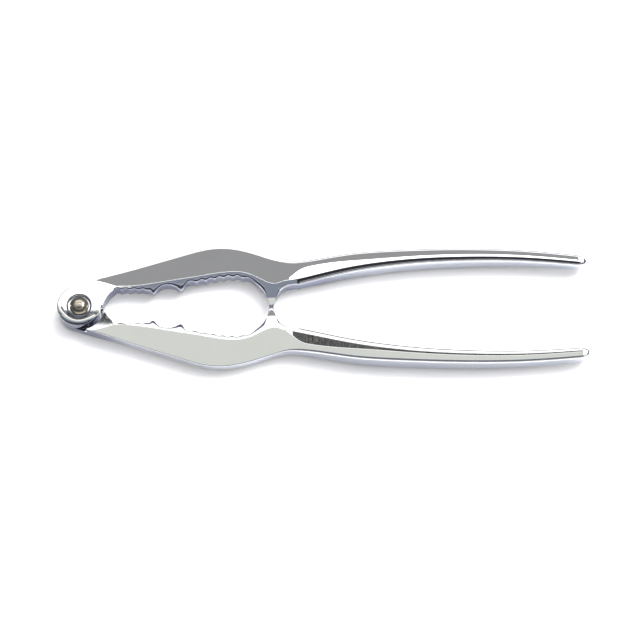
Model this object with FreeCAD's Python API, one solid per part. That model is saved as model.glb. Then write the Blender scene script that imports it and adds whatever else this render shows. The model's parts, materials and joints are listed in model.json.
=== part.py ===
import FreeCAD, Part
import math
import os

# Lever nutcracker: two identical die-cast levers, one turned over, on a rivet.
# Millimetres. Each lever is drawn about its own pivot axis, along +X, with its
# middle plane at z = 0 and its teeth towards -Y, then placed.

Vector = FreeCAD.Vector

# ---- lengths along the lever, from the pivot axis ----
lever_length = 182.1
jaw_length = 68.6  # to the middle of the stop horn
belly_before_horn = 20.1  # from the widest place of the jaw to the horn
neck_past_horn = 6.9  # from the horn to the narrowest place

# ---- distances from the centre line to the outer edge, closed ----
jaw_half_width = 23.0
neck_half_width = 17.25
handle_half_width = 22.25

# ---- thicknesses, across the middle plane ----
ear_thickness = 5.8  # of both ears together
jaw_thickness = 5.5  # at the fold beside the teeth
handle_thickness = 8.3  # over the two ridges of the handle
tip_thickness = 5.4
ridge_rise = 0.65  # ridge of the handle above its inner rim
plateau_slope = 0.122  # outer part of the upper face, falling from the fold or ridge to the outer edge

# ---- handle, seen from above ----
grip_width = 8.3  # just behind the neck
tip_width = 4.2
tip_rounding = 4.2
tip_fade = 0.6  # what is left of the ridge and its softness at the tip
ridge_share = 0.42  # ridge's place across the handle, from the inner rim
rim_step = 0.12  # draft of the handle's inner wall
rim_foot = 0.4  # height of that draft, as a share of the rim's

# ---- roundings, as the length trimmed on each side of a corner ----
crisp = 0.12
jaw_edge_softness = 0.3
rim_softness = 0.55
palm_softness = 1.25
ridge_softness = 1.3

# ---- bevel between the fold and the teeth ----
bevel_slope = 0.27
facet_slope = 0.05
facet_reach = 3.55  # the flat tip of the horn, from the centre line

# ---- pivot ----
ear_radius = 7.9
ear_edge_rounding = 0.3
shoulder_gap = 1.7  # round the other lever's ear
edge_tuck = 0.02  # straight edge inside the ear's rim where they meet
web_reach = 0.3  # inner side of the web beside the ear, from the centre line
lap_gap = 0.06  # between the two ears
belly_flattening = 0.98  # belly inside the line of the jaw's straight edge
rivet_diameter = 4.0
rivet_clearance = 0.05  # radial, in the lever that turns
head_diameter = 6.9
head_height = 1.95
head_edge = 0.35  # straight side of the head below its dome
head_clearance = 0.04  # axial, over the lever that turns
recess_depth = 0.8
recess_margin = 0.15  # flat floor round the head
recess_wall = 1.0  # width of the recess's concave side
stop_gap = 0.04  # between the two horns, closed

# ---- teeth ----
fine_pitch = 3.05
fine_count = 4
fine_depth = 0.5
fine_gap = 5.5  # from the ear's rim to the first valley
fine_inset = 1.45  # crests nearer the centre line than the ear's rim
fine_lean = 0.02  # of the row of crests, towards the centre line
coarse_pitch = 3.2
coarse_depth = 0.6
coarse_shelf = 1.85  # from the fold to the crests
large_gap = 1.36  # from the fine teeth to the first large one
large_pitch = 10.3  # between the two large teeth
large_length = 1.2  # of the first one, past the fine crests
scallop_depth = 1.9  # of the hollow between them, behind the fine crests
second_set_back = 0.15  # tip of the second one, behind the fine crests
coarse_gap = 3.8  # from the second large tooth to the coarse ones

# ---- stop horn ----
horn_width = 1.5
horn_room = 8.35  # from the last coarse valley to the horn

handle_length = lever_length - jaw_length
shoulder_radius = ear_radius + shoulder_gap
half_ear = ear_thickness / 2
half_jaw = jaw_thickness / 2
half_handle = handle_thickness / 2
recess_floor = half_ear - recess_depth
recess_radius = head_diameter / 2 + recess_margin + recess_wall
belly_at = jaw_length - belly_before_horn
neck_at = jaw_length + neck_past_horn
line_y = jaw_half_width + belly_flattening
edge_angle = math.atan2(line_y, belly_at) - math.asin(ear_radius / math.hypot(belly_at, line_y))
tangent_x = -ear_radius * math.sin(edge_angle)
straight_end = belly_at - 13.0
level_start = ear_radius - 4.3  # the ear's flat face narrows from here to level_end
level_end = ear_radius + 4.7
fold_drop = 5.4  # past level_end the fold settles to the thickness of the jaw over this length
bevel_start = ear_radius + 1.1  # the bevel beside the teeth grows from here to bevel_full
bevel_full = ear_radius + 16.1
web_end = ear_radius + 5.0
fold_end = neck_at - 2.1  # past here the fold runs into the ridge of the handle
neck_end = neck_at + 7.5

fine_start = ear_radius + fine_gap
fine_y = ear_radius - fine_inset
fine_end = fine_start + (fine_count - 0.25) * fine_pitch
first_tooth = fine_end + large_gap
second_tooth = first_tooth + large_pitch
coarse_start = second_tooth + coarse_gap
horn_start = jaw_length - horn_width / 2
horn_stop = jaw_length + horn_width / 2
coarse_count = int((horn_start - horn_room - coarse_start) / coarse_pitch + 0.5)


def edge_line(x):
    """Outer edge of the jaw where it is straight, tangent to the ear."""
    return (ear_radius - edge_tuck) / math.cos(edge_angle) + math.tan(edge_angle) * x


def along_handle(share):
    return jaw_length + share * handle_length


def mix(x, start, end):
    """0 before start, 1 past end, eased between."""
    t = min(1.0, max(0.0, (x - start) / (end - start)))
    return t * t * (3 - 2 * t)


def blend(a, b, share):
    return a + (b - a) * share


def spread(start, end, count):
    """count values from start to end, evenly spaced."""
    return [blend(start, end, i / (count - 1)) for i in range(count)]


def smooth(points):
    """Natural cubic spline through (x, value) points, as a function of x."""
    xs = [p[0] for p in points]
    ys = [p[1] for p in points]
    count = len(xs)
    steps = [xs[i + 1] - xs[i] for i in range(count - 1)]
    upper = [0.0] * count
    bends = [0.0] * count
    for i in range(1, count - 1):
        rise = (ys[i + 1] - ys[i]) / steps[i] - (ys[i] - ys[i - 1]) / steps[i - 1]
        pivot = 2 * (steps[i - 1] + steps[i]) - steps[i - 1] * upper[i - 1]
        upper[i] = steps[i] / pivot
        bends[i] = (6 * rise - steps[i - 1] * bends[i - 1]) / pivot
    for i in range(count - 2, 0, -1):
        bends[i] -= upper[i] * bends[i + 1]

    def value(x):
        i = 0
        while i < count - 2 and x > xs[i + 1]:
            i += 1
        a = (xs[i + 1] - x) / steps[i]
        b = 1 - a
        bow = ((a**3 - a) * bends[i] + (b**3 - b) * bends[i + 1]) * steps[i] ** 2 / 6
        return a * ys[i] + b * ys[i + 1] + bow

    return value


# Outer edge, from the ear to the tip.
outer_edge = smooth(
    [
        (tangent_x, edge_line(tangent_x)),
        (straight_end - 20, edge_line(straight_end - 20)),
        (straight_end - 8, edge_line(straight_end - 8)),
        (straight_end, edge_line(straight_end)),
        (belly_at, jaw_half_width),
        (belly_at + 12.3, jaw_half_width - 1.7),
        (jaw_length, neck_half_width + 1.45),
        (neck_at, neck_half_width),
        (neck_at + 4.5, neck_half_width + 0.35),
        (along_handle(0.16), handle_half_width - 3.6),
        (along_handle(0.25), handle_half_width - 1.95),
        (along_handle(0.38), handle_half_width - 0.75),
        (along_handle(0.6), handle_half_width),
        (along_handle(0.8), handle_half_width - 0.5),
        (along_handle(1.0), handle_half_width - 2.5),
    ]
)

handle_width = smooth(
    [
        (along_handle(0.09), grip_width + 0.7),
        (along_handle(0.16), grip_width),
        (along_handle(0.25), grip_width - 0.7),
        (along_handle(0.42), grip_width - 2.2),
        (along_handle(0.62), tip_width + 0.95),
        (along_handle(0.85), tip_width + 0.3),
        (along_handle(1.0), tip_width),
    ]
)

# Fold between the outer plateau and the bevel beside the teeth.
jaw_fold = smooth(
    [
        (tangent_x, ear_radius - 1.8),
        (level_start, ear_radius - 1.05),
        (ear_radius, ear_radius - 0.6),
        (level_end, ear_radius - 0.4),
        (level_end + fold_drop, ear_radius - 0.3),
        (belly_at - 18.0, ear_radius + 1.5),
        (belly_at - 5.5, ear_radius + 3.6),
        (belly_at + 3.8, ear_radius + 5.15),
        (belly_at + 7.5, ear_radius + 5.3),
        (jaw_length - 8.6, ear_radius + 4.65),
        (jaw_length - 4.6, ear_radius + 2.85),
        (jaw_length + 0.2, ear_radius + 0.7),
        (fold_end, ear_radius + 1.3),
    ]
)


def crease(x):
    """Where the plateau comes down to the ear's level: a straight line that meets the fold at level_end."""
    share = (x - level_start) / (level_end - level_start)
    return blend(edge_line(level_start), jaw_fold(level_end), share)


def inner_rim(x):
    return outer_edge(x) - handle_width(x)


def handle_ridge(x):
    return inner_rim(x) + ridge_share * handle_width(x)


# Half the thickness along the fold, and along the ridge of the handle.
fold_height = smooth(
    [
        (tangent_x, half_ear),
        (level_end, half_ear),
        (level_end + fold_drop, half_jaw),
        (belly_at - 18.5, half_jaw),
        (jaw_length - 12, half_jaw),
        (jaw_length, half_jaw + 0.05),
        (neck_at, half_jaw + 0.45),
        (along_handle(0.16), half_handle - 0.25),
        (along_handle(0.28), half_handle),
        (along_handle(0.6), half_handle - 0.3),
        (along_handle(0.85), tip_thickness / 2 + 0.5),
        (along_handle(1.0), tip_thickness / 2),
    ]
)


def corners(x):
    """Upper half of the section at x: (y, z, softness), outer edge first."""
    outer = outer_edge(x)
    to_ridge = mix(x, jaw_length + 0.9, neck_at + 2.5)
    fold = blend(jaw_fold(min(x, fold_end)), handle_ridge(max(x, fold_end)), to_ridge)
    high = fold_height(x)
    outer_softness = jaw_edge_softness
    if x < level_end:
        high += plateau_slope * (crease(x) - fold)
    if x < level_start:
        outer_softness += plateau_slope * (crease(x) - outer)
    on_handle = mix(x, jaw_length + 1.0, along_handle(0.13))
    fall = plateau_slope * (outer - fold)
    steepness = mix(x, bevel_start, bevel_full)
    facet = high - bevel_slope * steepness * (fold - facet_reach)
    back = facet - facet_slope * steepness * 2 * facet_reach
    back_reach = blend(web_reach, -facet_reach, mix(x, ear_radius + 0.5, web_end))
    rim_high = high - ridge_rise * blend(1.0, tip_fade, mix(x, along_handle(0.5), lever_length))
    rim = inner_rim(max(x, jaw_length))
    horn_end = mix(x, jaw_length + 1.2, jaw_length + 11.0)
    palm = blend(palm_softness, rim_softness, mix(x, along_handle(0.1), along_handle(0.55)))
    ridge = blend(ridge_softness, tip_fade * ridge_softness, mix(x, along_handle(0.2), lever_length))
    return [
        (outer, high - fall, blend(outer_softness, palm, on_handle)),
        (fold, high, blend(crisp, ridge, on_handle)),
        (
            blend(facet_reach, rim + rim_step, horn_end),
            blend(facet, rim_high, horn_end),
            blend(crisp, rim_softness, horn_end),
        ),
        (blend(back_reach, rim, horn_end), blend(back, rim_foot * rim_high, horn_end), crisp),
    ]


def section(x, scale=1.0):
    """Closed wire of the lever's section at x, shrunk about its middle by scale."""
    upper = corners(x)
    middle = (upper[0][0] + upper[3][0]) / 2
    points = [(middle + (y - middle) * scale, z * scale, s * scale) for y, z, s in upper]
    points += [(y, -z, s) for y, z, s in reversed(points)]
    places = [Vector(x, y, z) for y, z, s in points]
    edges = []
    count = len(places)
    ends = []
    for i in range(count):
        here = places[i]
        before = here + (places[i - 1] - here).normalize() * points[i][2]
        after = here + (places[(i + 1) % count] - here).normalize() * points[i][2]
        ends.append((before, here, after))
    for i in range(count):
        before, here, after = ends[i]
        corner = Part.BezierCurve()
        corner.setPoles([before, here, after])
        edges.append(corner.toShape())
        edges.append(Part.makeLine(after, ends[(i + 1) % count][0]))
    return Part.Wire(edges)


def bar():
    """The lever before its teeth, horn and ear are cut."""
    body_end = lever_length - tip_rounding
    stations = [tangent_x] + spread(2.0, neck_end, 28) + spread(neck_end, body_end, 13)[1:]
    wires = [section(x) for x in stations]
    for share in (0.3, 0.6, 0.82, 0.95, 0.995):
        wires.append(section(body_end + share * tip_rounding, math.sqrt(1 - share**2)))
    return Part.makeLoft(wires, True, False)


def spline(points):
    curve = Part.BSplineCurve()
    curve.interpolate([Vector(x, y, 0) for x, y in points])
    return curve.toShape()


def polyline(points):
    return [Part.makeLine(Vector(*a, 0), Vector(*b, 0)) for a, b in zip(points, points[1:])]


def wave(start, pitch, count, crest, depth):
    """Rounded teeth: valley and crest points, one tooth per pitch."""
    points = []
    for i in range(count):
        valley_x = start + i * pitch
        crest_x = valley_x + pitch / 2
        points.append((valley_x, crest(valley_x) + depth))
        points.append((crest_x, crest(crest_x)))
    return points


def fine_crest(x):
    return fine_y - fine_lean * (x - fine_start)


def coarse_crest(x):
    return jaw_fold(x) - coarse_shelf


def nut_side():
    """Outline of everything the inner side of the lever leaves open, closed behind the centre line."""
    far = -3.0 * facet_reach
    throat = [
        (ear_radius + 0.15, -0.3),
        (ear_radius + 1.4, 2.6),
        (fine_start - 2.5, fine_y - 1.45),
        (fine_start - 1.2, fine_y - 0.25),
    ]
    fine = wave(fine_start, fine_pitch, fine_count, fine_crest, fine_depth)
    large = [
        (fine_end, fine_crest(fine_end) + 0.1),
        (first_tooth, fine_y - large_length),
        (first_tooth + 0.19 * large_pitch, fine_y + 0.3 * scallop_depth),
        (first_tooth + 0.52 * large_pitch, fine_y + scallop_depth),
        (first_tooth + 0.82 * large_pitch, fine_y + 0.53 * scallop_depth),
        (second_tooth, fine_y + second_set_back),
        (second_tooth + 1.0, fine_y + second_set_back + 1.3),
        (second_tooth + 2.0, fine_y + second_set_back + 2.8),
    ]
    coarse = wave(coarse_start, coarse_pitch, coarse_count, coarse_crest, coarse_depth)
    last_x = coarse_start + coarse_count * coarse_pitch
    hollow_end = [
        (last_x + 0.3, coarse_crest(last_x) + 0.35),
        (horn_start - 5.05, ear_radius + 1.35),
        (horn_start - 2.55, ear_radius - 1.1),
        (horn_start - 0.85, facet_reach + 0.15),
        (horn_start, stop_gap / 2),
    ]
    horn_back = [
        (horn_stop, stop_gap / 2),
        (horn_stop + 0.75, facet_reach - 0.95),
        (horn_stop + 1.95, facet_reach + 1.85),
        (horn_stop + 3.75, inner_rim(neck_at) - 0.75),
        (neck_at, inner_rim(neck_at) + 0.15),
        (neck_at + 4.0, inner_rim(neck_at + 4.0) - 0.25),
        (neck_end + 1.0, inner_rim(neck_end + 1.0) - 1.75),
    ]
    outline = polyline([(ear_radius, far), throat[0]])
    outline.append(spline(throat + fine + large + coarse + hollow_end))
    outline += polyline([hollow_end[-1], horn_back[0]])
    outline.append(spline(horn_back))
    outline += polyline([horn_back[-1], (horn_back[-1][0], far), (ear_radius, far)])
    return Part.Face(Part.Wire(outline))


def ear():
    """Upper half of the lap: a disc, and the web that joins it to the jaw."""
    disc = Part.makeCylinder(ear_radius, half_ear - lap_gap / 2, Vector(0, 0, lap_gap / 2))
    rim = [edge for edge in disc.Edges if edge.BoundBox.Center.z > half_ear - 0.01]
    return disc.makeFillet(ear_edge_rounding, rim)


def recess():
    """Round dish that the rivet head sits in, on the upper face."""
    floor_radius = recess_radius - recess_wall
    start = Vector(floor_radius, 0, recess_floor)
    end = Vector(recess_radius, 0, half_ear)
    middle = Vector(floor_radius + 0.62 * recess_wall, 0, recess_floor + 0.36 * recess_depth)
    top = half_ear + 1
    profile = [
        Part.makeLine(Vector(0, 0, recess_floor), start),
        Part.Arc(start, middle, end).toShape(),
        Part.makeLine(end, Vector(recess_radius, 0, top)),
        Part.makeLine(Vector(recess_radius, 0, top), Vector(0, 0, top)),
        Part.makeLine(Vector(0, 0, top), Vector(0, 0, recess_floor)),
    ]
    return Part.Face(Part.Wire(profile)).revolve(Vector(0, 0, 0), Vector(0, 0, 1), 360)


def lever(bore_radius):
    deep = handle_thickness
    open_space = nut_side().extrude(Vector(0, 0, 2 * deep))
    open_space.translate(Vector(0, 0, -deep))
    body = bar().cut(open_space)
    corner = Vector(-shoulder_radius, -2 * deep, half_ear)
    level = Part.makeBox(shoulder_radius + level_end + fold_drop, 4 * deep, deep, corner)
    body = body.cut(level)
    level.translate(Vector(0, 0, -ear_thickness - deep))
    body = body.cut(level)
    other_ear = Part.makeCylinder(shoulder_radius, deep, Vector(0, 0, lap_gap / 2 - deep))
    body = body.cut(other_ear)
    body = body.fuse(ear())
    bore = Part.makeCylinder(bore_radius, 2 * deep, Vector(0, 0, -deep))
    return body.cut(bore).cut(recess()).removeSplitter()


def head(floor):
    """Outline of one rivet head above floor, as edges from its rim to the axis, and the rim's corner."""
    radius = head_diameter / 2
    rise = head_height - head_edge
    ball = (radius**2 + rise**2) / (2 * rise)
    half_angle = math.asin(radius / ball) / 2
    foot = Vector(radius, 0, floor)
    shoulder = Vector(radius, 0, floor + head_edge)
    crown = Vector(0, 0, floor + head_height)
    middle = Vector(ball * math.sin(half_angle), 0, crown.z - ball * (1 - math.cos(half_angle)))
    return [Part.makeLine(foot, shoulder), Part.Arc(shoulder, middle, crown).toShape()], foot, crown


def rivet():
    """Shank clenched in the lower lever, with a domed head at each end."""
    shank = rivet_diameter / 2
    upper, upper_foot, upper_crown = head(recess_floor + head_clearance)
    lower, lower_foot, lower_crown = head(recess_floor)
    for edge in lower:
        edge.rotate(Vector(0, 0, 0), Vector(1, 0, 0), 180)
    lower_foot = Vector(lower_foot.x, 0, -lower_foot.z)
    lower_crown = Vector(0, 0, -lower_crown.z)
    upper_neck = Vector(shank, 0, upper_foot.z)
    lower_neck = Vector(shank, 0, lower_foot.z)
    profile = upper + lower
    profile.append(Part.makeLine(upper_foot, upper_neck))
    profile.append(Part.makeLine(upper_neck, lower_neck))
    profile.append(Part.makeLine(lower_neck, lower_foot))
    profile.append(Part.makeLine(lower_crown, upper_crown))
    outline = Part.Wire(Part.__sortEdges__(profile))
    return Part.Face(outline).revolve(Vector(0, 0, 0), Vector(0, 0, 1), 360)


def turned_over(shape):
    shape.rotate(Vector(0, 0, 0), Vector(1, 0, 0), 180)
    return shape


pieces = {
    "upper_lever": lever(rivet_diameter / 2 + rivet_clearance),
    "lower_lever": turned_over(lever(rivet_diameter / 2)),
    "pivot_rivet": rivet(),
}
box = Part.makeCompound(list(pieces.values())).optimalBoundingBox(True, False)
to_frame = Vector(-(box.XMin + box.XMax) / 2, 0, -box.ZMin)
os.makedirs("parts", exist_ok=True)
for name, shape in pieces.items():
    shape.translate(to_frame)
    shape.exportStep(f"parts/{name}.step")
print("pivot axis at", to_frame, "size", box)
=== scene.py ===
import json
import math

import bmesh
import bpy
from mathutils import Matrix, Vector


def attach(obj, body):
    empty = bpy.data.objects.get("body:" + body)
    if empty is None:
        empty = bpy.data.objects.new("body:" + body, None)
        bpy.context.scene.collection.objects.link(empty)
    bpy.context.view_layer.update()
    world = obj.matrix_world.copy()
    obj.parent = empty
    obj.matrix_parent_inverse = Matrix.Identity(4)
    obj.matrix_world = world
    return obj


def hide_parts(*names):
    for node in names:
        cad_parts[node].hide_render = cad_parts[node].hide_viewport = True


# Chrome-plated lever nutcracker: the CAD levers and rivet, drawn finer, under studio light.
# Blender works in metres. The levers and the rivet are drawn in mm from the pivot axis.

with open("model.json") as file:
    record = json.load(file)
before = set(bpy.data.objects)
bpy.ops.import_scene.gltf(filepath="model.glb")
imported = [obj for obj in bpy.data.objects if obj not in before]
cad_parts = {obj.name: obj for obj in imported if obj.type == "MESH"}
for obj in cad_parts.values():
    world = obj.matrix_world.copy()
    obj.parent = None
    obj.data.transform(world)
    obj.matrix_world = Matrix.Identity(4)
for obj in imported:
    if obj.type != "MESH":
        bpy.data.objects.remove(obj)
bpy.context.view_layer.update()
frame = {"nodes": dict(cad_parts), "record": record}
scene = bpy.context.scene
scene.view_settings.view_transform = "Standard"

MM = 0.001
PIVOT = Vector(frame["record"]["behaviour"]["joints"][0]["pos_m"])

# ---- camera ----
ELEVATION = 67.0  # degrees above the table
DISTANCE = 1000 * MM
TARGET = Vector((-1.07, -4.9, 5.0)) * MM
PIXEL = 0.357 * MM  # one pixel of the image, at the target
IMAGE_WIDTH = 640
SENSOR = 36.0
CLIP_START = 10 * MM

# ---- room: strips of colour along X, which the metal mirrors ----
# Each strip has the angle where it starts (0 the back horizon, 90 overhead, 180 the front
# horizon) and its colour. It blends into the strip before it within EDGE degrees of the start.
EDGE = 0.03
STRIPS = [
    (-90.0, (0.3, 0.3, 0.3)),
    (0.0, (0.06, 0.07, 0.1)),
    (15.0, (1.45, 1.45, 1.45)),
    (50.0, (0.335, 0.335, 0.34)),
    (59.5, (2.6, 2.6, 2.6)),
    (66.78, (0.03, 0.036, 0.034)),
    (67.08, (1.3, 1.3, 1.3)),
    (67.45, (0.045, 0.045, 0.042)),
    (71.0, (1.3, 1.3, 1.3)),
    (76.0, (0.71, 0.725, 0.68)),
    (87.0, (0.24, 0.265, 0.33)),
    (99.0, (0.03, 0.03, 0.036)),
    (136.0, (1.15, 1.12, 1.02)),
    (160.0, (0.22, 0.24, 0.3)),
]
BLOTCHED = (66.78, 71.0)  # degrees: blotches of light are added between these
BLOTCH_SPAN = (0.5, 0.7)  # noise over which a blotch grows from nothing to BLOTCH_LIGHT
BLOTCH_LIGHT = 0.45
BRIGHT_ACROSS = ((0.42, 0.5), (0.72, 0.8))  # a brighter window: where it starts and ends in X ...
BRIGHT_ANGLES = ((30.0, 40.0), (80.0, 90.0))  # ... and in degrees
BRIGHT_GAIN = 9.0
DIM_SPAN = (-0.75, -0.4)  # the room is dim towards -X, and full past this span in X
DIM_GAIN = 0.12

# ---- lamps: name, place, width, height, power, colour ----
LAMPS = [
    ("key", (0.3, 0.7, 0.85), 0.8, 0.6, 8.0, (1.0, 0.98, 0.94)),
    ("fill", (0.0, 0.0, 1.4), 2.0, 2.0, 19.0, (0.94, 0.94, 1.0)),
]

# ---- floor ----
FLOOR_COLOUR = (0.93, 0.93, 0.93, 1)
FLOOR_ROUGHNESS = 0.9
FLOOR_REACH = 3.0

# ---- noise textures: scale, detail ----
BLOTCHES = (1100.0, 4.0)
# noise that varies the painted dark reflection a little
PAINTED_DARK_PATCHES = (900.0, 4.0)
CLOUDS = (120.0, 5.0)
SMUDGES = (60.0, 6.0)
WAVES = (350.0, 2.0)
SCRATCHES = (1.0, 3.0)
SCRATCH_STRETCH = (60.0, 2500.0, 2500.0)  # the scratches run along X

# ---- metal: "upright" is the size of the normal's Z part, 1 on level faces, 0 on walls ----
PAINTED_DARK_ROUNDINGS = ((0.74, 0.8), (0.9, 0.945))  # tight roundings get a painted dark reflection where upright is in here
PAINTED_DARK_FAR_ROUNDINGS = ((0.25, 0.32), (0.9, 0.945))  # a wider window of painted dark reflection, for surfaces that face +Y
PAINTED_DARK_SPAN = (0.3, 0.55)  # noise over which the painted dark reflection grows from the least share below to 1
LEAST_PAINTED_DARK = 0.9
FACE_UPRIGHT = 0.5  # the ear's rim gets its painted dark reflection only on faces more upright than this
DARKER = 0.97  # the clouds in the plating run from this share of the colour ...
LIGHTER = 1.03  # ... to this
WALL_UPRIGHT = (0.45, 0.2)  # over this span a face takes on the painted wall shade
WALL_DEPTH = (10.5 * MM, 14.5 * MM)  # distance from the centre line over which the painted shade on the walls goes from deep to faint
# painted shade: walls coloured as if mirroring the shaded floor, deepest inside the eye between the levers
WALL_SHADE_DEEP = (0.3, 0.32, 0.41)
WALL_SHADE_FAINT = (0.62, 0.65, 0.72)
SMUDGE_SPAN = (0.42, 0.72)  # noise over which clean metal becomes smudged
PAINTED_DARK_ROUGHNESS = 0.12  # metal under the painted dark reflection is this much rougher ...
PAINTED_DARK_DULLNESS = 0.85  # ... and this much less metallic
SPECULAR = 0.05

# ---- lever, in mm: the sizes of the CAD lever, drawn finer ----
LEVER_LENGTH = 182.079
JAW_LENGTH = 68.6
BELLY_AT = JAW_LENGTH - 20.1
NECK_AT = JAW_LENGTH + 6.9
NECK_END = NECK_AT + 7.5
JAW_HALF_WIDTH = 23.0
NECK_HALF_WIDTH = 17.25
HANDLE_HALF_WIDTH = 22.25
EAR_RADIUS = 7.9
HALF_EAR = 2.9
HALF_JAW = 2.75
HALF_HANDLE = 4.15
HALF_TIP = 2.7
GRIP_WIDTH = 8.3
TIP_WIDTH = 4.2
TIP_ROUNDING = 4.2
RIDGE_RISE = 0.6
RIDGE_INSET = 2.0
RISE_LEFT = 0.68  # share of the ridge's rise that is left at the tip
INSET_LEFT = 0.7  # the same for its inset
PLATEAU_SLOPE = 0.122
BEVEL_SLOPE = 0.27
FACET_SLOPE = 0.105
FACET_REACH = 3.55
RIM_STEP = 0.12  # the inner rim's upper corner is this far outside its lower one
WALL_TURN = 0.4  # the lower corner is at this share of the rim's height
CROWN_SLOPE = 0.012
EDGE_ANGLE = math.radians(17.913)
EDGE_TUCK = 0.02  # the straight edge is this far inside the ear
STOP = 0.02  # the two horns stop this far from the centre line
LEVEL_START = EAR_RADIUS - 4.3
LEVEL_END = EAR_RADIUS + 4.7
FOLD_DROP = 5.4
FOLD_END = NECK_AT - 2.1
HORN_START = JAW_LENGTH - 0.75
HORN_STOP = JAW_LENGTH + 0.75
FINE_START = EAR_RADIUS + 5.5
FINE_PITCH = 3.05
FINE_COUNT = 4
FINE_DEPTH = 0.5
FINE_Y = EAR_RADIUS - 1.45
FINE_LEAN = 0.02
COARSE_PITCH = 3.2
COARSE_COUNT = 6
COARSE_DEPTH = 0.6
COARSE_SHELF = 1.85
LARGE_PITCH = 10.3
SCALLOP_DEPTH = 1.9

# ---- roundings of the lever's corners ----
CRISP = 0.14
JAW_EDGE = 0.3
CROWN = 0.2
RIM = 0.9
PALM = 0.9
RIDGE = 0.15
RIDGE_LEFT = 0.6  # share of the ridge's rounding that is left at the tip
INNER_EDGE = 1.2  # along the teeth, the hollow and the horn

# ---- mesh of the lever ----
SEAM = 12.9  # nearer the pivot than this the CAD mesh is kept: flat faces and the round ear
PACE = 0.3  # between sections on the jaw
HANDLE_PACE = 0.8
STATION_GAP = 0.03  # sections are never closer than this
HORN_STEPS = 6
TIP_STEP = 6  # degrees
NO_CUT = -99.0  # far past the centre line, so that nothing is cut off
BETWEEN_SHARES = (0.25, 0.72)  # see clipped
BETWEEN_REACH = 2.0
ROUND_STEPS = 7
TRIM_SHARE = 0.45  # a rounding takes at most this share of the straight beside it
# Points on a straight stand close together beside the roundings, so that those stay crisp.
STRAIGHT_SHARES = (0.015, 0.12, 0.5, 0.88, 0.985, 1.0)
LONG_SHARES = (0.006, 0.05, 0.25, 0.5, 0.75, 0.95, 0.994, 1.0)
LONG_STRAIGHTS = (2, 4)  # the plateau and the bevel

# ---- painted dark reflection along the inner rounding: a value on the lever's mesh ----
PAINTED_DARK_LINE = "painted_dark_line"
CONTOUR_PLACES = range(60, 66)  # points of each half section, at the brink of the inner rounding
CONTOUR_END = JAW_LENGTH + 3.0
CONTOUR_GAP = 0.7  # none from this far before the horn's tip to this far past it

# ---- outer face of the ear: crowned by relief in the material ----
CROWNED_FROM = 5.5  # from the pivot: the face falls away from here ...
CROWNED_REACH = 3.0  # ... over this distance, as an arc
CROWNED_RADIUS = 5.0
CROWNED_WAY = (-0.26, -0.966)  # it does so on this side of the pivot ...
CROWNED_SPAN = (2.0, 5.0)  # ... growing to full over this distance that way
CROWNED_MARGIN = 0.05  # the relief ends this far outside the ear
# painted dark reflection round the ear's rim, on one side of the pivot
PAINTED_DARK_RIM = ((EAR_RADIUS - 0.5, EAR_RADIUS - 0.35), (EAR_RADIUS + 0.1, EAR_RADIUS + 0.2))
PAINTED_DARK_WAY = (-0.777, -0.629)  # the rim gets a painted dark reflection this way from the pivot, and a little on the other side:
PAINTED_DARK_RIM_SPAN = (-3.4, -2.2)  # the painted dark reflection grows to full between these two distances that way

# ---- rivet ----
SHANK_RADIUS = 2.0
HEAD_RADIUS = 3.45
HEAD_EDGE = 0.35  # height of the head's straight edge
HEAD_HEIGHT = 1.95
HEAD_CHAMFER = 0.12
HEAD_BREAK = (0.05, 0.02)  # the edge's corner is cut off: this far down and in, and this far up
RECESS_DEPTH = 0.8
HEAD_FLOOR = HALF_EAR - RECESS_DEPTH
HEAD_CLEARANCE = 0.04
CAP_STEPS = 20
RIVET_SEGMENTS = 96
SHARP_ANGLE = math.radians(40)


class Nodes:
    """Short way to build a shader tree."""

    def __init__(self, tree):
        self.tree = tree

    def add(self, kind, inputs=None, **settings):
        node = self.tree.nodes.new(kind)
        for name, value in settings.items():
            setattr(node, name, value)
        for name, value in (inputs or {}).items():
            self.feed(node.inputs[name], value)
        return node

    def feed(self, socket, value):
        """Link the socket to another one, or set its own value."""
        if isinstance(value, bpy.types.NodeSocket):
            self.tree.links.new(value, socket)
        else:
            socket.default_value = value

    def math(self, operation, a, b=0.0):
        return self.add("ShaderNodeMath", {0: a, 1: b}, operation=operation).outputs[0]

    def product(self, first, *others):
        for other in others:
            first = self.math("MULTIPLY", first, other)
        return first

    def split(self, vector):
        """The X, Y and Z outputs."""
        return self.add("ShaderNodeSeparateXYZ", {"Vector": vector}).outputs

    def noise(self, place, scale, detail):
        inputs = {"Vector": place, "Scale": scale, "Detail": detail}
        return self.add("ShaderNodeTexNoise", inputs).outputs["Fac"]

    def remap(self, value, start, end, low=0.0, high=1.0):
        """low where the value is start, high where it is end, and level beyond them."""
        inputs = {"Value": value, "From Min": start, "From Max": end, "To Min": low, "To Max": high}
        return self.add("ShaderNodeMapRange", inputs).outputs["Result"]

    def window(self, value, rise, fall):
        """1 between the two (start, end) spans, 0 outside them."""
        return self.product(self.remap(value, *rise), self.remap(value, fall[1], fall[0]))

    def mixed(self, factor, a, b, blend_type="MIX"):
        """Colour mixed from a and b, each a socket or (red, green, blue)."""
        node = self.add("ShaderNodeMix", {"Factor": factor}, data_type="RGBA", blend_type=blend_type)
        for name, colour in (("A", a), ("B", b)):
            socket = next(s for s in node.inputs if s.name == name and s.type == "RGBA")
            self.feed(socket, (*colour, 1) if isinstance(colour, tuple) else colour)
        return next(s for s in node.outputs if s.type == "RGBA")


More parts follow.
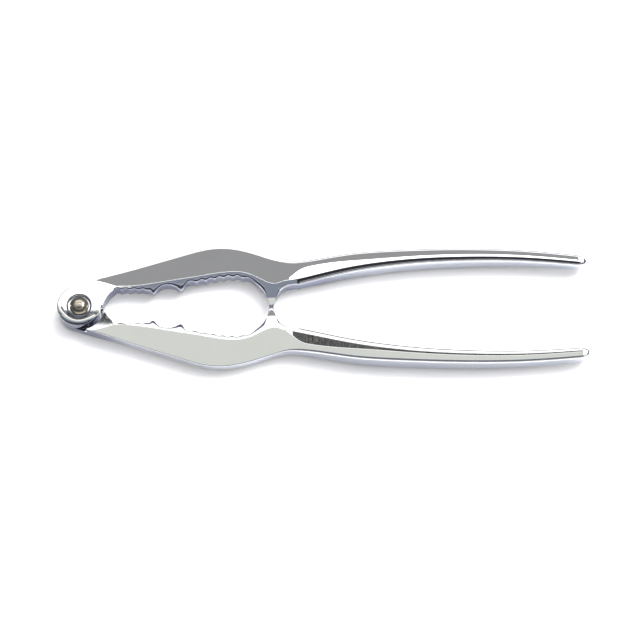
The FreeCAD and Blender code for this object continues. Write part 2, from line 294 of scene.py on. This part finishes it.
def make_camera():
    data = bpy.data.cameras.new("camera")
    camera = bpy.data.objects.new("camera", data)
    scene.collection.objects.link(camera)
    tilt = math.radians(ELEVATION)
    camera.location = TARGET + Vector((0, -math.cos(tilt), math.sin(tilt))) * DISTANCE
    camera.rotation_euler = (math.radians(90 - ELEVATION), 0, 0)
    data.sensor_width = SENSOR
    data.lens = SENSOR * DISTANCE / (IMAGE_WIDTH * PIXEL)
    data.clip_start = CLIP_START
    scene.camera = camera


def make_room():
    """World of strips, with blotches, one brighter window and a dim side."""
    world = bpy.data.worlds.new("room")
    scene.world = world
    world.use_nodes = True
    nodes = Nodes(world.node_tree)
    background = world.node_tree.nodes["Background"]
    direction = nodes.add("ShaderNodeTexCoord").outputs["Generated"]
    parts = nodes.split(direction)
    degrees = nodes.math("DEGREES", nodes.math("ARCTAN2", parts["Z"], parts["Y"]))
    colour = STRIPS[0][1]
    for start, strip in STRIPS[1:]:
        colour = nodes.mixed(nodes.remap(degrees, start - EDGE, start + EDGE), colour, strip)
    blotches = nodes.remap(nodes.noise(direction, *BLOTCHES), *BLOTCH_SPAN, 0.0, BLOTCH_LIGHT)
    above = nodes.math("GREATER_THAN", degrees, BLOTCHED[0])
    below = nodes.math("LESS_THAN", degrees, BLOTCHED[1])
    colour = nodes.mixed(1.0, colour, nodes.product(above, below, blotches), "ADD")
    across = nodes.window(parts["X"], *BRIGHT_ACROSS)
    window = nodes.product(across, nodes.window(degrees, *BRIGHT_ANGLES))
    lift = nodes.remap(window, 0.0, 1.0, 1.0, BRIGHT_GAIN)
    dim = nodes.remap(parts["X"], *DIM_SPAN, DIM_GAIN, 1.0)
    nodes.feed(background.inputs["Color"], colour)
    nodes.feed(background.inputs["Strength"], nodes.product(dim, lift))


def make_lamp(name, place, width, height, power, colour):
    """Soft lamp aimed at the object. It lights the floor; the strips are what the metal mirrors."""
    data = bpy.data.lights.new(name, "AREA")
    data.shape = "RECTANGLE"
    data.size = width
    data.size_y = height
    data.energy = power
    data.color = colour
    lamp = bpy.data.objects.new(name, data)
    scene.collection.objects.link(lamp)
    lamp.location = place
    lamp.rotation_euler = (-lamp.location).to_track_quat("-Z", "Y").to_euler()
    lamp.visible_glossy = False


def new_material(name):
    material = bpy.data.materials.new(name)
    material.use_nodes = True
    return material, Nodes(material.node_tree), material.node_tree.nodes["Principled BSDF"]


def ear_relief_and_dark_rim(nodes, place, facing):
    """The crowned outer face of each ear: its height in mm, and where its rim gets a painted dark
    reflection.

    facing is the normal's Z. The lower ear is the upper one turned over, so Y is turned with it.
    """
    offset = nodes.add("ShaderNodeVectorMath", {0: place, 1: tuple(-PIVOT)}, operation="ADD")
    to_mm = {0: offset.outputs["Vector"], 1: (1 / MM, 1 / MM, 0.0)}
    flat = nodes.add("ShaderNodeVectorMath", to_mm, operation="MULTIPLY").outputs["Vector"]
    radius = nodes.add("ShaderNodeVectorMath", {0: flat}, operation="LENGTH").outputs["Value"]
    parts = nodes.split(flat)
    turned_y = nodes.product(parts["Y"], nodes.math("SIGN", facing))

    def toward(way):
        return nodes.math("ADD", nodes.product(parts["X"], way[0]), nodes.product(turned_y, way[1]))

    past = nodes.math("MAXIMUM", nodes.math("SUBTRACT", radius, CROWNED_FROM), 0.0)
    reach = nodes.math("MINIMUM", past, CROWNED_REACH)
    square = nodes.math("SUBTRACT", CROWNED_RADIUS**2, nodes.product(reach, reach))
    drop = nodes.math("SUBTRACT", nodes.math("SQRT", square), CROWNED_RADIUS)
    share = nodes.remap(toward(CROWNED_WAY), *CROWNED_SPAN)
    inside = nodes.math("LESS_THAN", radius, EAR_RADIUS + CROWNED_MARGIN)
    rim = nodes.window(radius, *PAINTED_DARK_RIM)
    free = nodes.remap(toward(PAINTED_DARK_WAY), *PAINTED_DARK_RIM_SPAN)
    return nodes.product(drop, share, inside), nodes.product(rim, free)


def painted_dark_mask(nodes, place, normal, upright):
    """Painted dark reflection, 0 to 1: on tight roundings by the way they face, and the painted dark line
    value on the mesh.
    """
    # painted dark reflection: roundings are darkened by which way they face, in place of dark things the
    # chrome would mirror
    rounding = nodes.window(upright, *PAINTED_DARK_ROUNDINGS)
    far_side = nodes.math("GREATER_THAN", normal["Y"], 0.0)
    rounding_far = nodes.product(nodes.window(upright, *PAINTED_DARK_FAR_ROUNDINGS), far_side)
    patches = nodes.remap(nodes.noise(place, *PAINTED_DARK_PATCHES), *PAINTED_DARK_SPAN, LEAST_PAINTED_DARK)
    painted_dark = nodes.product(nodes.math("MAXIMUM", rounding, rounding_far), patches)
    # the painted dark reflection line set on the lever's mesh
    painted_dark_line = nodes.add("ShaderNodeAttribute", attribute_name=PAINTED_DARK_LINE, attribute_type="GEOMETRY")
    return nodes.math("MAXIMUM", painted_dark, painted_dark_line.outputs["Fac"])


def metal_colour(nodes, place, upright, painted_dark, colour, dark):
    """Faint clouds on the faces, painted shade on the walls (deeper near the centre line), painted dark
    reflection where the mask is up.
    """
    darker = tuple(DARKER * c for c in colour)
    lighter = tuple(min(1.0, LIGHTER * c) for c in colour)
    face = nodes.mixed(nodes.noise(place, *CLOUDS), darker, lighter)
    from_middle = nodes.math("ABSOLUTE", nodes.split(place)["Y"])
    # painted shade on the walls, deeper towards the centre line
    wall = nodes.mixed(nodes.remap(from_middle, *WALL_DEPTH), WALL_SHADE_DEEP, WALL_SHADE_FAINT)
    face_or_wall_shade = nodes.mixed(nodes.remap(upright, *WALL_UPRIGHT), face, wall)
    # painted dark reflection mixed over the colour
    return nodes.mixed(painted_dark, face_or_wall_shade, dark)


def metal_relief(nodes, place, waviness, grain):
    """Height in mm of faint waves and fine polishing scratches."""
    waves = nodes.product(nodes.noise(place, *WAVES), waviness)
    along = nodes.add("ShaderNodeMapping", {"Vector": place, "Scale": SCRATCH_STRETCH}).outputs["Vector"]
    scratches = nodes.product(nodes.noise(along, *SCRATCHES), grain)
    return nodes.math("ADD", waves, scratches)


def metal_with_painted_reflections(name, colour, dark, roughness, waviness, grain, eared):
    """Metal with painted dark reflections, painted wall shade and smudges. roughness is (clean, smudged);
    eared adds the ear's relief and its rim's painted dark reflection.
    """
    material, nodes, shader = new_material(name)
    coordinates = nodes.add("ShaderNodeTexCoord")
    place = coordinates.outputs["Object"]
    normal = nodes.split(coordinates.outputs["Normal"])
    upright = nodes.math("ABSOLUTE", normal["Z"])
    painted_dark = painted_dark_mask(nodes, place, normal, upright)
    relief = metal_relief(nodes, place, waviness, grain)
    if eared:
        # rim is where the ear's rim gets its painted dark reflection
        height, rim = ear_relief_and_dark_rim(nodes, place, normal["Z"])
        on_face = nodes.math("GREATER_THAN", upright, FACE_UPRIGHT)
        painted_dark = nodes.math("MAXIMUM", painted_dark, nodes.product(rim, on_face))
        relief = nodes.math("ADD", relief, height)
    smudged = nodes.remap(nodes.noise(place, *SMUDGES), *SMUDGE_SPAN, *roughness)
    rough = nodes.math("ADD", smudged, nodes.product(painted_dark, PAINTED_DARK_ROUGHNESS))
    metallic = nodes.math("SUBTRACT", 1.0, nodes.product(painted_dark, PAINTED_DARK_DULLNESS))
    bump = nodes.add("ShaderNodeBump", {"Height": relief, "Strength": 1.0, "Distance": MM})
    nodes.feed(shader.inputs["Base Color"], metal_colour(nodes, place, upright, painted_dark, colour, dark))
    nodes.feed(shader.inputs["Roughness"], rough)
    nodes.feed(shader.inputs["Metallic"], metallic)
    nodes.feed(shader.inputs["Specular IOR Level"], SPECULAR)
    nodes.feed(shader.inputs["Normal"], bump.outputs["Normal"])
    return material


def chrome():
    return metal_with_painted_reflections(
        "chrome_plate",
        colour=(0.9, 0.905, 0.91),
        # colour of the painted dark reflection on the chrome
        dark=(0.035, 0.04, 0.065),
        roughness=(0.012, 0.03),
        waviness=0.0004,
        grain=0.0,
        eared=True,
    )


def rivet_steel():
    return metal_with_painted_reflections(
        "rivet_steel",
        colour=(0.54, 0.495, 0.4),
        # colour of the painted dark reflection on the rivet
        dark=(0.05, 0.045, 0.04),
        roughness=(0.2, 0.3),
        waviness=0.01,
        grain=0.003,
        eared=False,
    )


def new_object(name, points, faces):
    mesh = bpy.data.meshes.new(name)
    mesh.from_pydata(points, [], faces)
    mesh.update()
    obj = bpy.data.objects.new(name, mesh)
    scene.collection.objects.link(obj)
    return obj


def make_floor():
    material, _, shader = new_material("floor")
    shader.inputs["Base Color"].default_value = FLOOR_COLOUR
    shader.inputs["Roughness"].default_value = FLOOR_ROUGHNESS
    signs = ((-1, -1), (1, -1), (1, 1), (-1, 1))
    plane = new_object("floor", [(x * FLOOR_REACH, y * FLOOR_REACH, 0) for x, y in signs], [(0, 1, 2, 3)])
    plane.data.materials.append(material)


def edge_line(x):
    """The straight outer edge beside the ear."""
    return (EAR_RADIUS - EDGE_TUCK) / math.cos(EDGE_ANGLE) + math.tan(EDGE_ANGLE) * x


def along_handle(share):
    return JAW_LENGTH + share * (LEVER_LENGTH - JAW_LENGTH)


def mix(x, start, end):
    """0 before start, 1 past end, eased between."""
    t = min(1.0, max(0.0, (x - start) / (end - start)))
    return t * t * (3 - 2 * t)


def blend(a, b, share):
    return a + (b - a) * share


def smooth(points):
    """Natural cubic spline through (x, value) points, as a function of x."""
    xs = [p[0] for p in points]
    ys = [p[1] for p in points]
    count = len(xs)
    steps = [xs[i + 1] - xs[i] for i in range(count - 1)]
    upper = [0.0] * count
    bends = [0.0] * count
    for i in range(1, count - 1):
        rise = (ys[i + 1] - ys[i]) / steps[i] - (ys[i] - ys[i - 1]) / steps[i - 1]
        diagonal = 2 * (steps[i - 1] + steps[i]) - steps[i - 1] * upper[i - 1]
        upper[i] = steps[i] / diagonal
        bends[i] = (6 * rise - steps[i - 1] * bends[i - 1]) / diagonal
    for i in range(count - 2, 0, -1):
        bends[i] -= upper[i] * bends[i + 1]

    def value(x):
        i = 0
        while i < count - 2 and x > xs[i + 1]:
            i += 1
        a = (xs[i + 1] - x) / steps[i]
        b = 1 - a
        bow = ((a**3 - a) * bends[i] + (b**3 - b) * bends[i + 1]) * steps[i] ** 2 / 6
        return a * ys[i] + b * ys[i + 1] + bow

    return value


TANGENT_X = -EAR_RADIUS * math.sin(EDGE_ANGLE)
STRAIGHT_END = BELLY_AT - 13.0
outer_edge = smooth(
    [(x, edge_line(x)) for x in (TANGENT_X, STRAIGHT_END - 20, STRAIGHT_END - 8, STRAIGHT_END)]
    + [
        (BELLY_AT, JAW_HALF_WIDTH),
        (BELLY_AT + 12.3, JAW_HALF_WIDTH - 1.7),
        (JAW_LENGTH, NECK_HALF_WIDTH + 1.45),
        (NECK_AT, NECK_HALF_WIDTH),
        (NECK_AT + 4.5, NECK_HALF_WIDTH + 0.35),
        (along_handle(0.16), HANDLE_HALF_WIDTH - 3.6),
        (along_handle(0.25), HANDLE_HALF_WIDTH - 1.95),
        (along_handle(0.38), HANDLE_HALF_WIDTH - 0.75),
        (along_handle(0.6), HANDLE_HALF_WIDTH),
        (along_handle(0.8), HANDLE_HALF_WIDTH - 0.5),
        (along_handle(1.0), HANDLE_HALF_WIDTH - 2.5),
    ]
)
handle_width = smooth(
    [
        (along_handle(0.09), GRIP_WIDTH + 0.7),
        (along_handle(0.16), GRIP_WIDTH),
        (along_handle(0.25), GRIP_WIDTH - 0.7),
        (along_handle(0.42), GRIP_WIDTH - 2.2),
        (along_handle(0.62), TIP_WIDTH + 0.95),
        (along_handle(0.85), TIP_WIDTH + 0.3),
        (along_handle(1.0), TIP_WIDTH),
    ]
)
jaw_fold = smooth(
    [
        (TANGENT_X, EAR_RADIUS - 1.8),
        (LEVEL_START, EAR_RADIUS - 1.05),
        (EAR_RADIUS, EAR_RADIUS - 0.6),
        (LEVEL_END, EAR_RADIUS - 0.4),
        (LEVEL_END + FOLD_DROP, EAR_RADIUS - 0.3),
        (BELLY_AT - 18.0, EAR_RADIUS + 1.5),
        (BELLY_AT - 5.5, EAR_RADIUS + 3.6),
        (BELLY_AT + 3.8, EAR_RADIUS + 5.15),
        (BELLY_AT + 7.5, EAR_RADIUS + 5.3),
        (JAW_LENGTH - 8.6, EAR_RADIUS + 4.65),
        (JAW_LENGTH - 4.6, EAR_RADIUS + 2.85),
        (JAW_LENGTH + 0.2, EAR_RADIUS + 0.7),
        (FOLD_END, EAR_RADIUS + 1.3),
    ]
)
fold_height = smooth(
    [
        (TANGENT_X, HALF_EAR),
        (LEVEL_END, HALF_EAR),
        (LEVEL_END + FOLD_DROP, HALF_JAW),
        (BELLY_AT - 18.5, HALF_JAW),
        (JAW_LENGTH - 12, HALF_JAW),
        (JAW_LENGTH, HALF_JAW + 0.05),
        (NECK_AT, HALF_JAW + 0.45),
        (along_handle(0.16), HALF_HANDLE - 0.25),
        (along_handle(0.28), HALF_HANDLE),
        (along_handle(0.6), HALF_HANDLE - 0.3),
        (along_handle(0.85), HALF_TIP + 0.5),
        (along_handle(1.0), HALF_TIP),
    ]
)
crown_width = smooth(
    [
        (JAW_LENGTH, 0.6),
        (NECK_AT - 1.0, 0.9),
        (NECK_AT + 3.0, 3.3),
        (NECK_END, 3.9),
        (along_handle(0.18), 3.4),
        (along_handle(0.28), 2.0),
        (along_handle(0.38), 1.25),
        (along_handle(0.56), 0.95),
        (along_handle(1.0), 0.6),
    ]
)

# Spans of x over which the section changes
BEVEL_SPAN = (EAR_RADIUS + 1.1, EAR_RADIUS + 16.1)  # the bevel grows from nothing
FOLD_SPAN = (JAW_LENGTH + 0.9, NECK_AT + 2.5)  # the jaw's fold becomes the handle's ridge
EDGE_SPAN = (JAW_LENGTH + 1.0, along_handle(0.13))  # the jaw's roundings become the handle's
HORN_SPAN = (JAW_LENGTH + 1.2, JAW_LENGTH + 11.0)  # the horn's facet becomes the inner rim
CROWN_SPAN = (JAW_LENGTH + 2.0, NECK_AT + 3.0)  # the plateau levels out into the crown
RIDGE_SPAN = (along_handle(0.2), LEVER_LENGTH)  # the ridge's rounding tightens
HANDLE_SPAN = (NECK_END, LEVER_LENGTH)  # the ridge gets lower and nearer the rim


def inner_rim(x):
    return outer_edge(x) - handle_width(x)


def corners(x):
    """Upper half of the section at x: (y, z, rounding) of its five corners, outer edge first."""
    outer = outer_edge(x)
    to_tip = mix(x, *HANDLE_SPAN)
    ridge_y = inner_rim(max(x, FOLD_END)) + RIDGE_INSET * blend(1.0, INSET_LEFT, to_tip)
    fold = blend(jaw_fold(min(x, FOLD_END)), ridge_y, mix(x, *FOLD_SPAN))
    high = fold_height(x)
    on_handle = mix(x, *EDGE_SPAN)
    steepness = mix(x, *BEVEL_SPAN)
    facet = high - BEVEL_SLOPE * steepness * (fold - FACET_REACH)
    back = facet - FACET_SLOPE * steepness * 2 * FACET_REACH
    rim = inner_rim(max(x, JAW_LENGTH))
    horn_end = mix(x, *HORN_SPAN)
    ridge = blend(RIDGE, RIDGE_LEFT * RIDGE, mix(x, *RIDGE_SPAN))
    crown = fold + crown_width(max(x, JAW_LENGTH))
    crown_slope = blend(PLATEAU_SLOPE, CROWN_SLOPE, mix(x, *CROWN_SPAN))
    crown_high = high - PLATEAU_SLOPE * (crown - fold)
    ridge_high = crown_high + crown_slope * (crown - fold)
    rim_high = ridge_high - RIDGE_RISE * blend(1.0, RISE_LEFT, to_tip)
    outer_high = crown_high - PLATEAU_SLOPE * (outer - crown)
    facet_y = blend(FACET_REACH, rim + RIM_STEP, horn_end)
    back_y = blend(-FACET_REACH, rim, horn_end)
    return [
        (outer, outer_high, blend(JAW_EDGE, PALM, on_handle)),
        (crown, crown_high, CROWN),
        (fold, ridge_high, blend(CRISP, ridge, on_handle)),
        (facet_y, blend(facet, rim_high, horn_end), blend(CRISP, RIM, horn_end)),
        (back_y, blend(back, WALL_TURN * rim_high, horn_end), CRISP),
    ]


def wave(start, pitch, count, crest, depth):
    """Rounded teeth: valley and crest points, one tooth per pitch."""
    points = []
    for i in range(count):
        valley_x = start + i * pitch
        crest_x = valley_x + pitch / 2
        points.append((valley_x, crest(valley_x) + depth))
        points.append((crest_x, crest(crest_x)))
    return points


def fine_crest(x):
    return FINE_Y - FINE_LEAN * (x - FINE_START)


def coarse_crest(x):
    return jaw_fold(x) - COARSE_SHELF


def traced(points):
    """Points about PACE apart along a smooth curve through the given ones."""
    reach = [0.0]
    for a, b in zip(points, points[1:]):
        reach.append(reach[-1] + math.dist(a, b))
    across = smooth([(t, p[0]) for t, p in zip(reach, points)])
    up = smooth([(t, p[1]) for t, p in zip(reach, points)])
    count = int(reach[-1] / PACE) + 1
    return [(across(reach[-1] * i / count), up(reach[-1] * i / count)) for i in range(count + 1)]


def inner_side():
    """Where the lever ends towards the centre line: throat, teeth, hollow, horn and start of the handle."""
    throat = [
        (EAR_RADIUS + 0.15, -0.3),
        (EAR_RADIUS + 1.4, 2.6),
        (FINE_START - 2.5, FINE_Y - 1.45),
        (FINE_START - 1.2, FINE_Y - 0.25),
    ]
    fine_end = FINE_START + (FINE_COUNT - 0.25) * FINE_PITCH
    first = fine_end + 1.36
    second = first + LARGE_PITCH
    large = [
        (fine_end, fine_crest(fine_end) + 0.1),
        (first, FINE_Y - 1.2),
        (first + 0.19 * LARGE_PITCH, FINE_Y + 0.3 * SCALLOP_DEPTH),
        (first + 0.52 * LARGE_PITCH, FINE_Y + SCALLOP_DEPTH),
        (first + 0.82 * LARGE_PITCH, FINE_Y + 0.53 * SCALLOP_DEPTH),
        (second, FINE_Y + 0.15),
        (second + 1.0, FINE_Y + 1.45),
        (second + 2.0, FINE_Y + 2.95),
    ]
    coarse_start = second + 3.8
    coarse_end = coarse_start + COARSE_COUNT * COARSE_PITCH
    hollow_end = [
        (coarse_end + 0.3, coarse_crest(coarse_end) + 0.35),
        (HORN_START - 5.05, EAR_RADIUS + 1.35),
        (HORN_START - 2.55, EAR_RADIUS - 1.1),
        (HORN_START - 0.85, FACET_REACH + 0.15),
        (HORN_START, STOP),
    ]
    horn_back = [
        (HORN_STOP, STOP),
        (HORN_STOP + 0.75, FACET_REACH - 0.95),
        (HORN_STOP + 1.95, FACET_REACH + 1.85),
        (HORN_STOP + 3.75, inner_rim(NECK_AT) - 0.75),
        (NECK_AT, inner_rim(NECK_AT) + 0.15),
        (NECK_AT + 4.0, inner_rim(NECK_AT + 4.0) - 0.25),
        (NECK_END + 1.0, inner_rim(NECK_END + 1.0) - 1.75),
    ]
    fine = wave(FINE_START, FINE_PITCH, FINE_COUNT, fine_crest, FINE_DEPTH)
    coarse = wave(coarse_start, COARSE_PITCH, COARSE_COUNT, coarse_crest, COARSE_DEPTH)
    horn_tip = [(blend(HORN_START, HORN_STOP, i / HORN_STEPS), STOP) for i in range(1, HORN_STEPS)]
    return traced(throat + fine + large + coarse + hollow_end) + horn_tip + traced(horn_back)


def clipped(points, cut):
    """Corners of the upper half section, cut off at y = cut: always five, the last one on the inner side."""
    outer, crown, fold, facet, back = points
    if cut <= back[0]:
        return points
    if cut <= facet[0]:
        share = (facet[0] - cut) / (facet[0] - back[0])
        return [outer, crown, fold, facet, (cut, blend(facet[1], back[1], share), INNER_EDGE)]
    share = (fold[0] - cut) / (fold[0] - facet[0])
    inner = (cut, blend(fold[1], facet[1], share), INNER_EDGE)
    # The corner that was cut off moves on to the bevel, nearer the fold the deeper the cut.
    near = blend(*BETWEEN_SHARES, min(1.0, (cut - facet[0]) / BETWEEN_REACH))
    between = (blend(cut, fold[0], near), blend(inner[1], fold[1], near), CRISP)
    return [outer, crown, fold, between, inner]


def half_section(x, cut, stretch):
    """Points round the upper half of the section at x, from mid outer wall to mid inner wall."""
    chain = clipped(corners(x), cut)
    places = [(chain[0][0], 0.0)] + [(y, z) for y, z, _ in chain] + [(chain[-1][0], 0.0)]
    softness = [0.0] + [s for _, _, s in chain] + [0.0]
    innermost = len(chain)
    last = len(places) - 1
    trims = [(0.0, 0.0)]
    for i in range(1, last):
        widened = softness[i] * (stretch if i == innermost else 1.0)
        before = min(widened, TRIM_SHARE * math.dist(places[i], places[i - 1]))
        after = min(softness[i], TRIM_SHARE * math.dist(places[i], places[i + 1]))
        trims.append((before, after))
    trims.append((0.0, 0.0))
    points = [places[0]]
    for i in range(1, last + 1):
        start = points[-1]
        here = places[i]
        end_share = trims[i][0] / math.dist(places[i - 1], here)
        end = tuple(blend(h, p, end_share) for h, p in zip(here, places[i - 1]))
        for share in LONG_SHARES if i in LONG_STRAIGHTS else STRAIGHT_SHARES:
            points.append(tuple(blend(s, e, share) for s, e in zip(start, end)))
        if i == last:
            break
        out_share = trims[i][1] / math.dist(here, places[i + 1])
        out = tuple(blend(h, n, out_share) for h, n in zip(here, places[i + 1]))
        for k in range(1, ROUND_STEPS + 1):
            t = k / ROUND_STEPS
            curve = zip(end, here, out)
            points.append(tuple((1 - t) ** 2 * e + 2 * t * (1 - t) * h + t * t * o for e, h, o in curve))
    return points


def full_section(x, cut, stretch, scale=1.0):
    """The whole section at x as points, shrunk about its middle by scale."""
    upper = half_section(x, cut, stretch)
    middle = (upper[0][0] + upper[-1][0]) / 2
    upper = [(middle + (y - middle) * scale, z * math.sqrt(scale)) for y, z in upper]
    return [(x, y, z) for y, z in upper] + [(x, y, -z) for y, z in reversed(upper[1:-1])]


def lever_rings():
    """Sections of the lever from the seam to the tip."""
    side = [p for p in inner_side() if p[0] > SEAM]
    stations = [(SEAM, side[0][1])]
    for x, y in side:
        if x > stations[-1][0] + STATION_GAP:
            stations.append((x, y))
    # Where the inner side runs askew, the rounding along it is wider in the section.
    stretches = []
    for i in range(len(stations)):
        a, b = stations[max(0, i - 1)], stations[min(len(stations) - 1, i + 1)]
        stretches.append(math.hypot(1, (b[1] - a[1]) / (b[0] - a[0])))
    rings = []
    for i, (x, y) in enumerate(stations):
        near = stretches[max(0, i - 2) : i + 3]
        rings.append(full_section(x, y, sum(near) / len(near)))
    side_end = stations[-1][0]
    body_end = LEVER_LENGTH - TIP_ROUNDING
    count = int((body_end - side_end) / HANDLE_PACE)
    for i in range(1, count + 1):
        rings.append(full_section(blend(side_end, body_end, i / count), NO_CUT, 1.0))
    for degrees in range(TIP_STEP, 90, TIP_STEP):
        turn = math.radians(degrees)
        x = body_end + TIP_ROUNDING * math.sin(turn)
        rings.append(full_section(x, NO_CUT, 1.0, math.cos(turn)))
    return rings


def cad_ear(node):
    """Points and faces of the CAD node between the pivot end and the seam."""
    ear = bmesh.new()
    ear.from_mesh(frame["nodes"][node].data)
    seam = PIVOT + Vector((SEAM * MM, 0, 0))
    every = ear.verts[:] + ear.edges[:] + ear.faces[:]
    bmesh.ops.bisect_plane(ear, geom=every, plane_co=seam, plane_no=(1, 0, 0), clear_outer=True)
    ear.verts.index_update()
    points = [vertex.co.copy() for vertex in ear.verts]
    faces = [[vertex.index for vertex in face.verts] for face in ear.faces]
    ear.free()
    return points, faces


def lever_mesh(name, node, turned):
    """One visible lever: fine rings past the seam, the CAD node's own faces round the ear."""
    side = -1.0 if turned else 1.0
    rings = lever_rings()
    around = len(rings[0])
    points = [PIVOT + Vector((x, side * y, side * z)) * MM for ring in rings for x, y, z in ring]
    faces = []
    for i in range(len(rings) - 1):
        for j in range(around):
            k = (j + 1) % around
            faces.append((i * around + j, i * around + k, (i + 1) * around + k, (i + 1) * around + j))
    faces.append([(len(rings) - 1) * around + j for j in range(around)])
    ear_points, ear_faces = cad_ear(node)
    faces += [[len(points) + index for index in face] for face in ear_faces]
    lever = new_object(name, points + ear_points, faces)
    lever.data.shade_smooth()
    # painted dark reflection: a line of dark set on the mesh along the inner rounding
    painted_dark_line = lever.data.attributes.new(PAINTED_DARK_LINE, "FLOAT", "POINT")
    places = [*CONTOUR_PLACES, *(around - place for place in CONTOUR_PLACES)]
    for i, ring in enumerate(rings):
        x = ring[0][0]
        if x < HORN_START - CONTOUR_GAP or HORN_STOP + CONTOUR_GAP < x < CONTOUR_END:
            for place in places:
                painted_dark_line.data[i * around + place].value = 1.0
    return lever


def dome(floor):
    """(radius, height) from the foot of a rivet head to its crown."""
    rise = HEAD_HEIGHT - HEAD_EDGE
    ball = (HEAD_RADIUS**2 + rise**2) / (2 * rise)
    widest = math.asin(HEAD_RADIUS / ball)
    turns = [widest * (1 - i / CAP_STEPS) for i in range(1, CAP_STEPS + 1)]
    cap = [(ball * math.sin(t), floor + HEAD_HEIGHT - ball * (1 - math.cos(t))) for t in turns]
    edge = [
        (SHANK_RADIUS, floor),
        (HEAD_RADIUS - HEAD_CHAMFER, floor),
        (HEAD_RADIUS, floor + HEAD_CHAMFER),
        (HEAD_RADIUS, floor + HEAD_EDGE - HEAD_BREAK[0]),
        (HEAD_RADIUS - HEAD_BREAK[0], floor + HEAD_EDGE + HEAD_BREAK[1]),
    ]
    return edge + cap


def rivet_mesh():
    """The rivet turned about its axis: shank, two domed heads."""
    upper = dome(HEAD_FLOOR + HEAD_CLEARANCE)
    lower = [(r, -z) for r, z in dome(HEAD_FLOOR)]
    profile = list(reversed(lower)) + upper
    points = []
    for r, z in profile[1:-1]:
        for k in range(RIVET_SEGMENTS):
            turn = 2 * math.pi * k / RIVET_SEGMENTS
            points.append(PIVOT + Vector((r * math.cos(turn), r * math.sin(turn), z)) * MM)
    faces = []
    rows = len(profile) - 2
    for i in range(rows - 1):
        row, above = i * RIVET_SEGMENTS, (i + 1) * RIVET_SEGMENTS
        for k in range(RIVET_SEGMENTS):
            n = (k + 1) % RIVET_SEGMENTS
            faces.append((row + k, row + n, above + n, above + k))
    for i, z in ((0, profile[0][1]), (rows - 1, profile[-1][1])):
        crown = len(points)
        points.append(PIVOT + Vector((0, 0, z)) * MM)
        for k in range(RIVET_SEGMENTS):
            a = i * RIVET_SEGMENTS + k
            b = i * RIVET_SEGMENTS + (k + 1) % RIVET_SEGMENTS
            faces.append((crown, b, a) if i == 0 else (crown, a, b))
    rivet = new_object("turned_rivet", points, faces)
    rivet.data.shade_smooth()
    rivet.data.set_sharp_from_angle(angle=SHARP_ANGLE)
    return rivet


make_camera()
make_room()
for lamp in LAMPS:
    make_lamp(*lamp)
make_floor()
plate, steel = chrome(), rivet_steel()
for name, node, body, turned in (
    ("upper_lever_casting", "upper_lever", "upper", False),
    ("lower_lever_casting", "lower_lever", "lower", True),
):
    casting = lever_mesh(name, node, turned)
    casting.data.materials.append(plate)
    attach(casting, body)
    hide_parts(node)
rivet = rivet_mesh()
rivet.data.materials.append(steel)
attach(rivet, "lower")
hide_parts("pivot_rivet")
